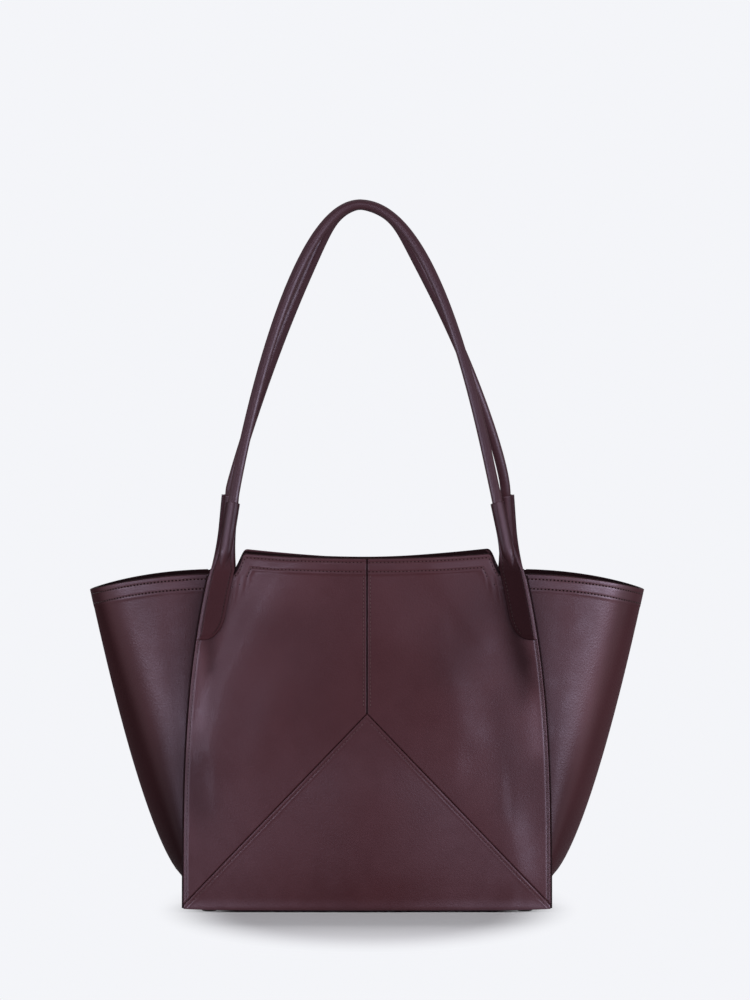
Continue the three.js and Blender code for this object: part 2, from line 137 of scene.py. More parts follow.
FLANK_START = (-1, 2)  # where the rim's dark flanks start, from the end of the crest
FLANK_EDGE = (0.9, 1.8)  # and end below the rim
WELT_FALL = (0.5, 1.7)  # where the raised welt along a side edge falls away
WELT_RAISE = 0.8
WELT_GROOVE = 0.5
SIDE_ROW = 2.1  # stitch row inside a side edge
SIDE_ROW_ENDS = (SEAM_FOOT + 5, tab_low - 1)
SLANT_ROW = 2.6  # stitch row under a slanted seam
SLANT_ROW_ENDS = (0.02, 0.97)  # as shares of the seam
SLANT_RAISE = 0.3
SLANT_BAND = (3.2, 4.6)  # where the raised band under a slanted seam ends
CENTRE_ROW = 2.4  # stitch rows beside the centre seam
BOTTOM_SAG = 1.2  # of a panel's bottom edge below its ends
BOTTOM_POWER = 6
BOTTOM_TURN = 1.2  # how far that edge turns in
BOTTOM_ROLL = 3
BASE_SAG = {"bottom": 2.1, "top": 1.26}
BASE_POWERS = (2.5, 8)  # how flat the sag is across the width and the depth
RIDGE_HEIGHT = 3  # of a sleeve over the end of the tube
RIDGE_HALF = 4.4
RIDGE_TIP = 1.2  # half-width at the crease
RIDGE_RUN = 15  # over which it tapers towards the crease
BEVEL_WIDTH = 2.2  # bevelled border of a strap
BEVEL_DROP = 0.5
BEVEL_GROOVE = 0.2
CUT_ROLL = 0.4  # cut edge of a strap
CUT_DROP = 0.3
STRAP_ROWS_END = 24
INNER_ROW_START = 4
TUBE_TIP = 0.4  # least radius of the tube inside the sleeve
TUBE_SEAM_DEPTH = 0.7  # groove along the inner side of the tube
TUBE_SEAM_WIDTH = 0.9
TUBE_STITCH_SINK = 0.75
CORE_COVER = 0.2
SLEEVE_LIP = 1  # the tube is full so far inside a sleeve's end, and sewn so far past it
STITCH_PITCH = 2.6
STITCH_SIZE = np.array([1.7, 0.5, 0.5])  # length, width and height
STITCH_SINK = 0.15  # of a strap's stitches
HOLE_SIZE = np.array([1.1, 0.9, 0.35])
HOLE_SCALE = {"hem": 1, "seam": 0.5, "gusset": 1.4, "handle": 0.6, "strap": 0.5}
# Slack in the leather: the points of a fold's crest as x and height, its widths left and right, and its rise
FOLDS = [
    ([(-48, 242), (-62, 232), (-82, 196), (-98, 161), (-107, 126), (-110, 112)], (10, 22), 2.0),
    ([(-66, 150), (-78, 110)], (14, 14), 0.7),
    ([(45, 240), (64, 214), (80, 190)], (9, 9), 0.7),
    ([(16, 220), (16, 195)], (22, 22), 1.2),
    ([(57, 172), (67, 122)], (22, 12), 1.5),
    ([(98, 58), (105, 24)], (22, 13), 2.0),
    ([(0, 75), (0, 25)], (38, 38), 3.6),
]
CREST_TURN = 4  # how far beside its crest a fold changes from one width to the other

# Painted shade and sheen on the leather, as shares of its material's colour and gloss
# Painted shade strokes on the front leather, and painted highlight strokes where the last value is below 0
PAINTED_SHADING = [
    ([(97, 226), (103, 190), (110, 166), (114, 152)], (11, 8), 0.46),
    ([(107, 192), (112, 172)], (8, 6), 0.22),
    ([(80, 208), (62, 172)], (20, 16), 0.2),
    ([(92, 145), (97, 108), (100, 70)], (9, 10), 0.17),
    ([(120, 95), (122, 60)], (12, 8), 0.15),
    ([(117, 150), (119, 112)], (6, 5), -0.35),
    ([(50, 112), (66, 100)], (14, 14), -0.12),
    ([(12, 222), (20, 200)], (14, 14), -0.12),
    ([(-72, 226), (-40, 228)], (14, 18), -0.3),
    ([(-116, 176), (-117, 130)], (6, 5), -0.3),
    ([(-110, 190), (-110, 168)], (5, 5), 0.35),
    ([(-122, 100), (-120, 72)], (9, 16), 0.3),
]
PAINTED_LIGHT_TINT = 0.5  # how much a painted highlight changes the colour and the gloss
PAINTED_LIGHT_SHEEN = 2
UPPER_SHEEN = (0.8, 1.4, 30, 110)  # painted sheen, as a ramp outwards on the upper pieces of a panel
UPPER_RISE_SHEEN = (1.3, 1, 60, 150)  # and upwards
LOWER_SHEEN = (1.5, 2.1, 30, 90)  # painted sheen, as a ramp outwards on the lower piece
LOWER_RIGHT_SHEEN = (1, 1.35, 20, 60)
LOWER_RISE_SHEEN = [(2.2, 1, 4, 11), (0.8, 1, 12, 45), (1, 0.7, 80, 130)]
# Painted sheen on the hem strip
HEM_SHEEN = {"panel": 1.5, "gusset": 1.6}
CENTRE_SHADE = (0.15, 1, 0.35, 0.8)  # ramp outwards from the cut edge at the centre seam
FLANK_SHADE = 0.15
# A gusset has painted shade at its bend, beside its seams and towards its foot, and a painted highlight in
# front of the bend
GUSSET_SHADING = {
    "left": {
        "bend_dye": 0.5, "bend_gloss": 0.35, "bend_tilt": 0.0034, "painted_sheen": 0.3, "shine_line": 0.89,
        "seam_dye": 0.55, "seam_gloss": 1, "foot_dye": 0.9,
    },
    "right": {
        "bend_dye": 0.85, "bend_gloss": 1, "bend_tilt": 0.0016, "painted_sheen": 0.65, "shine_line": 0.775,
        "seam_dye": 0.7, "seam_gloss": 1.5, "foot_dye": 1.04,
    },
}
BEND_LEVEL = 150  # the bend tilts about this height
BEND_FRONT = (0.52, 0.8)  # from the bend to the front, as the sine of the angle round the gusset
SHINE_WIDTH = 0.09
SHINE_RISE = (85, 145)  # heights between which the shine and the looks of seams and foot change
SEAM_RISE = (95, 160)
FOOT_RISE = (70, 170)
SEAM_REACH = 30
# Painted shade on the tabs, lighter on the left tab and darker on the right one
TAB_SHADE = {"left": 1.18, "right": 0.48}
TAB_SHEEN = {"left": 0.23, "right": 0.1}
TAB_SHADE_END = (0, 14)  # where a tab's look goes over into the sleeve's
TAB_SHEEN_END = (2, 18)
# Painted highlight on a tab's bevelled border
BEVEL_HIGHLIGHT = 1.2
HIGHLIGHT_WIDTH = 1.7  # painted highlight streak on the ridge of a sleeve
HIGHLIGHT_SHIFT = 1
HIGHLIGHT_TINT = (0.75, 1.2)  # painted shade beside the streak and painted highlight on it
HIGHLIGHT_SHEEN = (0.35, 2)
FLANGE_SHEEN = 1.2  # painted sheen on the flat borders beside the ridge
FLANGE_TURN = 0.4
CUT_SHADE = (0.3, 1, 0.2, 0.7)  # ramp inwards from a sleeve's cut edge


def lerp(a, b, t):
    return a + (b - a) * t


def smoothstep(x, low, high):
    t = np.clip((x - low) / (high - low), 0, 1)
    return t * t * (3 - 2 * t)


def ramp(x, before, after, start, end):
    return lerp(before, after, smoothstep(x, start, end))


def bell(x, width):
    return np.exp(-((x / width) ** 2))


def unit(vectors):
    return vectors / np.linalg.norm(vectors, axis=-1, keepdims=True)


def joined(*parts):
    """Points or vectors from their coordinates."""
    return np.stack(np.broadcast_arrays(*parts), axis=-1)


def right_of(line):
    """Directions to the right of a flat line of points."""
    along = unit(np.gradient(line, axis=0))
    return joined(along[:, 1], -along[:, 0])


def round_turn(sides):
    return np.linspace(0, 2 * np.pi, sides, endpoint=False)


def spaced(*spans):
    """Values along joined spans, each (start, end, count)."""
    parts = [np.linspace(a, b, count, endpoint=False) for a, b, count in spans]
    return np.append(np.concatenate(parts), spans[-1][1])


def rolled(distance, width):
    """Quarter round at an edge: 1 at the edge, 0 from the width inwards."""
    t = np.clip(1 - distance / width, 0, 1)
    return 1 - np.sqrt(1 - t**2)


def groove(distance, centre):
    return bell(distance - centre, GROOVE_WIDTH)


# Surfaces of the bag
def share(z):
    return np.maximum(z / SIDE_HEIGHT, 0)


def panel_half(z):
    return (BASE_WIDTH - (BASE_WIDTH - RIM_WIDTH) * share(z) ** WIDTH_POWER) / 2


def half_depth(z):
    return lerp(BASE_DEPTH, RIM_DEPTH, share(z)) / 2


def lap_start(z):
    return panel_half(z) - SEAM_LAP


def wing_half(z):
    climb = np.clip((z - WING_START) / (SIDE_HEIGHT - WING_START), 0, None)
    flared = BASE_WIDTH / 2 + (RIM_WIDTH / 2 + WING_REACH - BASE_WIDTH / 2) * climb**WING_POWER
    tucked = panel_half(z) - WING_TUCK * (1 - z / WING_START)
    return np.where(z < WING_START, tucked, flared)


def tab_outer(z):
    return panel_half(z) - TAB_INSET


def bow_half(z):
    """Half-width of the mouth's bow, which ends at the side edges at first and at the tabs higher up."""
    return ramp(z, panel_half(z), tab_outer(z) - TAB_WIDTH, SIDE_HEIGHT / 2, tab_low)


def swell(x, z, crest, widths, rise):
    """Soft rise around a line of points, with its own width to the left and to the right."""
    nearest = np.inf
    for (x1, z1), (x2, z2) in zip(crest, crest[1:]):
        run = x2 - x1
        climb = z2 - z1
        along = np.clip(((x - x1) * run + (z - z1) * climb) / (run**2 + climb**2), 0, 1)
        beside = x - lerp(x1, x2, along)
        width = ramp(beside, *widths, -CREST_TURN, CREST_TURN)
        nearest = np.minimum(nearest, np.hypot(beside, z - lerp(z1, z2, along)) / width)
    return rise * bell(nearest, 1)


def panel_out(x, z):
    """Distance of a panel's outer face from the middle plane of the bag."""
    height = np.minimum(share(z), 1)
    across = np.clip(abs(x) / panel_half(z), 0, 1)
    crown = PANEL_CROWN * (1 - across**2) * np.sin(np.pi * height)
    bow = MOUTH_BOW * np.maximum(1 - (x / bow_half(z)) ** 2, 0) ** BOW_POWER * np.sin(np.pi / 2 * height)
    return half_depth(z) + crown + bow + sum(swell(x, z, *fold) for fold in FOLDS)


def panel_point(face, x, z, depth):
    return joined(x, face * (panel_out(x, z) - depth), z + FOOT_HEIGHT)


def panel_normal(face, x, z):
    step = 0.5
    slope_x = (panel_out(x + step, z) - panel_out(x - step, z)) / (2 * step)
    slope_z = (panel_out(x, z + step) - panel_out(x, z - step)) / (2 * step)
    return unit(joined(-slope_x, face, -slope_z))


def panel_row(face, x, z, depth=0):
    return panel_point(face, x, z, depth), panel_normal(face, x, z)


side_top = panel_half(SIDE_HEIGHT)
seam_side = panel_half(SEAM_FOOT)
slant_cos = math.cos(math.atan2(SEAM_APEX - SEAM_FOOT, seam_side))
notch_half = tab_outer(SIDE_HEIGHT) - TAB_WIDTH
crest_half = notch_half - CREST_RUN


def rim_height(face_name, x):
    full_rise = CREST_RISE[face_name] + CREST_LIFT[face_name] * smoothstep(x, 0, crest_half)
    around = np.linspace(-RIM_CORNER, RIM_CORNER, 9)
    falls = [smoothstep(abs(x) + shift, crest_half, notch_half) for shift in around]
    sag = CREST_SAG[face_name] * np.maximum(0, 1 - (x / crest_half) ** 2)
    return SIDE_HEIGHT + full_rise * (1 - np.mean(falls, axis=0)) - sag


def rim_line(face_name):
    x = np.linspace(-side_top, side_top, 1200)
    return joined(x, rim_height(face_name, x))


def rim_distance(face_name, x, z):
    line_x, line_z = rim_line(face_name).T
    rows = zip(x[..., None], z[..., None])
    return np.array([np.hypot(row_x - line_x, row_z - line_z).min(axis=1) for row_x, row_z in rows])


def slant_height(x):
    return lerp(SEAM_APEX, SEAM_FOOT, abs(x) / seam_side)


def hem_relief(distance, kind):
    raised = 1 - smoothstep(distance - HEM_ROWS[kind][-1] - HEM_LAP, *HEM_FALL)
    return HEM_RAISE[kind] * (raised - sum(groove(distance, row) for row in HEM_ROWS[kind]))


def hem_gloss(distance, kind):
    lower_row = HEM_ROWS[kind][-1]
    return ramp(distance, HEM_SHEEN[kind], 1, lower_row, lower_row + HEM_LAP)


def gusset_rim(angle):
    return SIDE_HEIGHT - WING_DROP * np.cos(angle) ** 2


def gusset_point(side, angle, z, depth):
    reach = wing_half(z) - lap_start(z) - depth
    x = lap_start(z) + reach * np.cos(angle)
    across = half_depth(z) - PANEL_LEATHER - GAP - depth
    return joined(side * x, across * np.sin(angle), z + FOOT_HEIGHT)


def gusset_row(side, angle, z, depth=0):
    turn = 0.01
    step = 0.5
    along = gusset_point(side, angle + turn, z, 0) - gusset_point(side, angle - turn, z, 0)
    up = gusset_point(side, angle, z + step, 0) - gusset_point(side, angle, z - step, 0)
    return gusset_point(side, angle, z, depth), unit(side * np.cross(along, up))


# Mesh making
def add_mesh(name, points, faces, material):
    mesh = bpy.data.meshes.new(name)
    mesh.from_pydata((points * MM).tolist(), [], faces)
    shell = bmesh.new()
    shell.from_mesh(mesh)
    bmesh.ops.recalc_face_normals(shell, faces=shell.faces)
    shell.to_mesh(mesh)
    shell.free()
    mesh.polygons.foreach_set("use_smooth", np.ones(len(mesh.polygons), bool))
    mesh.materials.append(material)
    # Attributes that scale the leather's colour and gloss, for painted shade and sheen and for darker cut
    # edges
    for shade in ("dye", "gloss"):
        values = mesh.attributes.new(shade, "FLOAT", "POINT").data
        values.foreach_set("value", np.ones(len(mesh.vertices)))
    piece = bpy.data.objects.new(name, mesh)
    bpy.context.scene.collection.objects.link(piece)
    return piece


def grid_faces(rows, columns, first=0, wrap=False):
    across = columns if wrap else columns - 1
    r, c = np.meshgrid(np.arange(rows - 1), np.arange(across), indexing="ij")
    here = r * columns + c
    beside = r * columns + (c + 1) % columns
    quads = joined(here, beside, beside + columns, here + columns)
    return (quads.reshape(-1, 4) + first).tolist()


def closed_sheet(name, outer, inner, material):
    """Closed sheet between two grids of points, each rows by columns."""
    rows, columns = outer.shape[:2]
    count = rows * columns
    points = np.concatenate([outer.reshape(-1, 3), inner.reshape(-1, 3)])
    faces = grid_faces(rows, columns)
    faces += [face[::-1] for face in grid_faces(rows, columns, count)]
    grid = np.arange(count).reshape(rows, columns)
    border = np.concatenate([grid[:, 0], grid[-1, 1:], grid[-2::-1, -1], grid[0, -2:0:-1]]).tolist()
    for a, b in zip(border, border[1:] + border[:1]):
        faces.append([a, b, b + count, a + count])
    return add_mesh(name, points, faces, material)


def shade_sheet(piece, **shades):
    """Set the leather's colour and gloss shares, which carry painted shade and sheen, over a closed sheet's
    grid of points, on both faces.
    """
    for shade, strength in shades.items():
        piece.data.attributes[shade].data.foreach_set("value", np.tile(strength.ravel(), 2))


def swept_tube(name, centres, rings, material):
    """Closed tube through rings of points, with pointed caps at the ends of its line of centres."""
    count, sides = rings.shape[:2]
    points = np.concatenate([rings.reshape(-1, 3), centres[:1], centres[-1:]])
    faces = grid_faces(count, sides, wrap=True)
    last = (count - 1) * sides
    for s in range(sides):
        after = (s + 1) % sides
        faces.append([count * sides, after, s])
        faces.append([count * sides + 1, last + s, last + after])
    return add_mesh(name, points, faces, material)


def paint_edge(name, line, normals, thickness, rise):
    """Painted bead along a line of points, across the given thickness of leather."""
    up = np.cross(unit(np.gradient(line, axis=0)), normals)
    main = abs(up).sum(axis=0).argmax()
    up *= np.sign(up[:, main : main + 1])
    turn = round_turn(12)[:, None]
    wide = normals[:, None] * thickness / 2 * np.cos(turn)
    high = np.broadcast_to(rise, len(line))[:, None, None]
    rings = line[:, None] + wide + up[:, None] * high * np.sin(turn)
    place_piece(swept_tube(name, line, rings, edge_paint), "bag", "panel_leather")


def spots_along(line, normals, phase):
    """Places, directions and normals of evenly pitched spots along a line of points."""
    step = 0.4
    lengths = np.concatenate([[0], np.cumsum(np.linalg.norm(np.diff(line, axis=0), axis=1))])
    count = max(int(lengths[-1] // STITCH_PITCH), 1)
    at = (np.arange(count) + phase) * lengths[-1] / count

    def sample(values, where):
        return joined(*[np.interp(where, lengths, values[:, i]) for i in range(3)])

    along = unit(sample(line, at + step) - sample(line, at - step))
    return sample(line, at), along, sample(normals, at)


# Rings of a bead: their places as shares of its length, and their sizes as shares of its width and height
BEAD_PLACES = [-0.5, -0.42, -0.2, 0.2, 0.42, 0.5]
BEAD_SIZES = [0.3, 0.75, 1, 1, 0.75, 0.3]
BEAD_SIDES = 6


def add_beads(name, rows, phase, bead_size, material):
    """One piece with a small bead at every spot of several rows, each a line of points and its normals."""
    length, width, height = bead_size
    spots = [spots_along(*row, phase) for row in rows]
    places, alongs, normals = (np.concatenate(part) for part in zip(*spots))
    across = unit(np.cross(alongs, normals))
    points = []
    for forward, size in zip(BEAD_PLACES, BEAD_SIZES):
        for turn in round_turn(BEAD_SIDES):
            sideways = across * width * size / 2 * math.cos(turn)
            upwards = normals * height * size / 2 * math.sin(turn)
            points.append(places + alongs * forward * length + sideways + upwards)
    points = np.stack(points, axis=1)
    per_bead = points.shape[1]
    single = grid_faces(len(BEAD_PLACES), BEAD_SIDES, wrap=True)
    single += [list(range(BEAD_SIDES))[::-1], list(range(per_bead - BEAD_SIDES, per_bead))]
    faces = [[v + k * per_bead for v in face] for k in range(len(places)) for face in single]
    return add_mesh(name, points.reshape(-1, 3), faces, material)


def sew(name, rows, yarn, kind):
    """Stitches along several rows, and the needle holes between them."""
    stitches = add_beads(f"{name}_stitches", rows, 0.5, STITCH_SIZE, yarn)
    holes = add_beads(f"{name}_needle_holes", rows, 0, HOLE_SCALE[kind] * HOLE_SIZE, hole_shade)
    return [stitches, holes]


# Materials
VIOLET = (0.82, 0.74, 1, 1)
CLOUD_SCALE = 22
PATCH_SCALE = 90
GRAIN_SCALE = 700
PORE_SCALE = 2400
GRAZING = (0.22, 0.55)  # where leather turned from the eye loses its gloss
GRAZING_ROUGH = 0.95
ROUGH_SPREAD = 0.05
COLOUR_SPAN = (0.35, 0.65)  # part of a noise's range in which the colour changes
ROUGH_SPAN = (0.3, 0.7)  # and the roughness
GRAIN_DEPTH = 0.0002  # in metres
FIBRE_DEPTH = 0.0003


def new_material(name):
    material = bpy.data.materials.new(name)
    material.use_nodes = True
    tree = material.node_tree
    return material, tree, tree.nodes["Principled BSDF"]


def set_inputs(tree, node, inputs):
    """Set each input to a value, or link it where it is given another node's output."""
    for key, value in inputs.items():
        if isinstance(value, bpy.types.NodeSocket):
            tree.links.new(value, node.inputs[key])
        else:
            node.inputs[key].default_value = value


def add_node(tree, kind, inputs=None, **settings):
    node = tree.nodes.new(kind)
    for key, value in settings.items():
        setattr(node, key, value)
    set_inputs(tree, node, inputs or {})
    return node


def object_place(tree):
    return add_node(tree, "ShaderNodeTexCoord").outputs["Object"]


def attribute(tree, name):
    return add_node(tree, "ShaderNodeAttribute", attribute_name=name).outputs["Fac"]


def noise(tree, scale, detail=3, roughness=0.5):
    inputs = {"Vector": object_place(tree), "Scale": scale, "Detail": detail, "Roughness": roughness}
    return add_node(tree, "ShaderNodeTexNoise", inputs).outputs["Fac"]


def combine(tree, operation, first, second):
    return add_node(tree, "ShaderNodeMath", {0: first, 1: second}, operation=operation).outputs["Value"]


def colour_ramp(tree, source, *colours):
    ramp_node = add_node(tree, "ShaderNodeValToRGB", {"Fac": source})
    for element, position, colour in zip(ramp_node.color_ramp.elements, COLOUR_SPAN, colours):
        element.position = position
        element.color = (*colour, 1)
    return ramp_node.outputs["Color"]


def value_range(tree, source, middle, spread):
    """Value that a noise moves to both sides of its middle."""
    low, high = ROUGH_SPAN
    inputs = {"Value": source, "From Min": low, "From Max": high}
    inputs |= {"To Min": middle - spread, "To Max": middle + spread}
    return add_node(tree, "ShaderNodeMapRange", inputs).outputs["Result"]


def soft_step(tree, source, start, end):
    inputs = {"Value": source, "From Min": start, "From Max": end}
    return add_node(tree, "ShaderNodeMapRange", inputs, interpolation_type="SMOOTHSTEP").outputs["Result"]


def bump(tree, height, strength, distance):
    inputs = {"Height": height, "Strength": strength, "Distance": distance}
    return add_node(tree, "ShaderNodeBump", inputs).outputs["Normal"]


def mix_shaders(tree, second_share, first, second):
    inputs = {"Fac": second_share, 1: first, 2: second}
    return add_node(tree, "ShaderNodeMixShader", inputs).outputs["Shader"]


def leather(name, dark, light, rough, grain=0.22, specular=0.14):
    """Smooth dyed calf leather: cloudy colour, pebbled grain, small pores, no gloss at grazing angles, and
    painted shade and sheen.
    """
    material, tree, shader = new_material(name)
    cloud = colour_ramp(tree, noise(tree, CLOUD_SCALE, detail=4), dark, light)
    inputs = {"Vector": cloud, "Scale": attribute(tree, "dye")}
    colour = add_node(tree, "ShaderNodeVectorMath", inputs, operation="SCALE")
    facing = add_node(tree, "ShaderNodeLayerWeight", {"Blend": 0.5})
    graze = soft_step(tree, facing.outputs["Facing"], *GRAZING)
    patch = value_range(tree, noise(tree, PATCH_SCALE), rough, ROUGH_SPREAD)
    inputs = {"Factor": graze, "A": patch, "B": GRAZING_ROUGH}
    roughness = add_node(tree, "ShaderNodeMix", inputs, data_type="FLOAT")
    inputs = {"Vector": object_place(tree), "Scale": GRAIN_SCALE}
    cells = add_node(tree, "ShaderNodeTexVoronoi", inputs)
    height = combine(tree, "ADD", cells.outputs["Distance"], noise(tree, PORE_SCALE, 2))
    set_inputs(tree, shader, {
        "Base Color": colour.outputs["Vector"],
        "Roughness": roughness.outputs["Result"],
        "Specular IOR Level": combine(tree, "MULTIPLY", attribute(tree, "gloss"), specular),
        "Specular Tint": VIOLET,
        "Normal": bump(tree, height, grain, GRAIN_DEPTH),
    })
    return material


def fibrous(name, dark, light, rough, bump_strength, scale=2600, sheen=0, specular=0.25):
    """Cloth, suede, thread, board or cord: fine fibres that scatter the light."""
    material, tree, shader = new_material(name)
    fibre = noise(tree, scale, 4, 0.7)
    set_inputs(tree, shader, {
        "Base Color": colour_ramp(tree, fibre, dark, light),
        "Roughness": value_range(tree, fibre, rough, ROUGH_SPREAD),
        "Sheen Weight": sheen,
        "Sheen Tint": (*light, 1),
        "Specular IOR Level": specular,
        "Normal": bump(tree, fibre, bump_strength, FIBRE_DEPTH),
    })
    return material


def metal(name, dark, light, rough):
    material, tree, shader = new_material(name)
    cloud = noise(tree, 300, 4)
    set_inputs(tree, shader, {
        "Base Color": colour_ramp(tree, cloud, dark, light),
        "Roughness": value_range(tree, cloud, rough, 0.06),
        "Metallic": 1,
    })
    return material


panel_leather = leather("panel_leather", (0.0385, 0.0125, 0.015), (0.0425, 0.0138, 0.0166), 0.34)
strap_leather = leather("strap_leather", (0.027, 0.009, 0.0113), (0.031, 0.0102, 0.0128), 0.36, specular=0.26)
facing_leather = leather("facing_leather", (0.007, 0.0028, 0.0034), (0.01, 0.0038, 0.0046), 0.5, 0.22, 0.02)
edge_paint = leather("edge_paint", (0.009, 0.0036, 0.0044), (0.012, 0.0046, 0.0056), 0.5, 0.03, 0.04)
thread = fibrous("thread", (0.04, 0.015, 0.0185), (0.06, 0.023, 0.028), 0.5, 0.3)
dark_thread = fibrous("strap_thread", (0.012, 0.0048, 0.0058), (0.018, 0.007, 0.0085), 0.5, 0.3, specular=0.1)
hole_shade = fibrous("hole_shade", (0.006, 0.0028, 0.0032), (0.01, 0.0042, 0.005), 0.8, 0.1, specular=0.03)
suede = fibrous("suede_lining", (0.022, 0.01, 0.011), (0.04, 0.018, 0.019), 0.92, 0.35, scale=900, sheen=0.15)
board_fibre = fibrous("board_fibre", (0.1, 0.085, 0.07), (0.17, 0.145, 0.12), 0.9, 0.3, scale=500)
cord_fibre = fibrous("cord_fibre", (0.38, 0.33, 0.25), (0.55, 0.49, 0.38), 0.9, 0.4, scale=800)
foot_metal = metal("foot_metal", (0.03, 0.024, 0.024), (0.045, 0.036, 0.036), 0.34)
washer_steel = metal("washer_steel", (0.45, 0.44, 0.43), (0.58, 0.57, 0.56), 0.34)


def place_piece(piece, body, slot, *nodes):
    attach(piece, body)
    if nodes:
        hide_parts(*nodes)


def line_wall(name, wall, rim, leather_thickness, *leathers):
    """Facing behind a rim and lining below it. wall gives a wall's points at a height and a depth in it."""
    depth = leather_thickness + GAP
    below = spaced((0, 1, 4), (1, FACING_HEIGHT, 8))[:, None]
    edge = EDGE_ROLL / 2 * rolled(below, EDGE_ROLL)
    outer = wall(rim - below, depth + edge)
    inner = wall(rim - below, depth + FACING_LEATHER - edge)
    piece = closed_sheet(f"{name}_facing_leather", outer, inner, facing_leather)
    place_piece(piece, "bag", "facing_leather", f"{name}_rim_facing")
    low = LINING_LOW + LINING_CLOTH + GAP
    z = lerp(low, rim - FACING_HEIGHT - GAP, spaced((0, 1, 30))[:, None])
    outer = wall(z, depth)
    inner = wall(z, depth + LINING_CLOTH)
    piece = closed_sheet(f"{name}_suede", outer, inner, suede)
    place_piece(piece, "bag", "lining", f"{name}_lining")


# Rows of the mesh below a rim and above a slanted seam, and where its columns lie closer
hem_steps = spaced((0, 1.2, 6), (1.2, 13.4, 28), (13.4, 15, 2))[:, None]
seam_steps = spaced((8, 2.4, 5), (2.4, 0, 9))[:, None]
SEAM_COLUMNS = 5
FLANK_COLUMNS = (78, 97)
ROW_POWER = 0.9  # a gusset's rows lie closer towards its foot
rim_thickness = PANEL_LEATHER + GAP + FACING_LEATHER


# Front and back panels
def upper_grid(face_name):
    """Mesh of the leather between the rim, the side edge, the slanted seam and the centre seam."""
    top_x = spaced(
        (GAP / 2, SEAM_COLUMNS, 12),
        (SEAM_COLUMNS, FLANK_COLUMNS[0], 22),
        (*FLANK_COLUMNS, 36),
        (FLANK_COLUMNS[1], side_top - SEAM_COLUMNS, 6),
        (side_top - SEAM_COLUMNS, side_top, 12),
    )
    t = (top_x - top_x[0]) / (side_top - top_x[0])
    top_z = rim_height(face_name, top_x)
    bottom_x = lerp(top_x[0], seam_side, t)
    bottom_z = lerp(SEAM_APEX, SEAM_FOOT, t)
    drop = top_z - bottom_z
    hem = hem_steps / drop
    seam = 1 - seam_steps / drop
    middle = lerp(hem[-1], seam[0], spaced((0, 1, 30))[1:-1, None])
    v = np.concatenate([hem, middle, seam])
    edge_x = panel_half(lerp(SIDE_HEIGHT, SEAM_FOOT, v))
    x = lerp(top_x, bottom_x, v) + t * (edge_x - lerp(side_top, seam_side, v))
    return x, lerp(top_z, bottom_z, v)


def add_upper_panels(face_name, face):
    x, z = upper_grid(face_name)
    below = rim_distance(face_name, x, z)
    beside = panel_half(z) - x
    above_slant = np.maximum(z - slant_height(x), 0) * slant_cos
    relief = hem_relief(below, "panel") + WELT_RAISE * (1 - smoothstep(beside, *WELT_FALL))
    relief -= WELT_GROOVE * groove(beside, SIDE_ROW)
    relief -= SEAM_SINK * np.maximum(rolled(above_slant, SEAM_ROLL), rolled(x - GAP / 2, SEAM_ROLL))
    edge = EDGE_ROLL * np.maximum(rolled(below, EDGE_ROLL), rolled(beside, EDGE_ROLL))
    flank = smoothstep(x - crest_half, *FLANK_START) * (1 - smoothstep(below, *FLANK_EDGE))
    cut = ramp(x, *CENTRE_SHADE) * lerp(1, FLANK_SHADE, flank)
    # Painted sheen from gloss ramps outwards, upwards and on the hem
    panel_sheen = ramp(x, *UPPER_SHEEN) * ramp(z, *UPPER_RISE_SHEEN) * hem_gloss(below, "panel")
    for side_name, side in SIDES.items():
        outer = panel_point(face, side * x, z, edge - relief)
        inner = panel_point(face, side * x, z, PANEL_LEATHER - edge / 2)
        piece = closed_sheet(f"{face_name}_{side_name}_leather", outer, inner, panel_leather)
        # Painted shade and painted highlight strokes on the front panels
        shades = PAINTED_SHADING if face_name == "front" else []
        shading = sum((swell(side * x, z, *shade) for shade in shades), np.zeros_like(z))
        dye = 1 - shading * np.where(shading > 0, 1, PAINTED_LIGHT_TINT)
        gloss = 1 - shading * np.where(shading > 0, 1, PAINTED_LIGHT_SHEEN)
        shade_sheet(piece, dye=cut * dye, gloss=cut * panel_sheen * gloss)
        place_piece(piece, "bag", "panel_leather", f"{face_name}_{side_name}_panel")


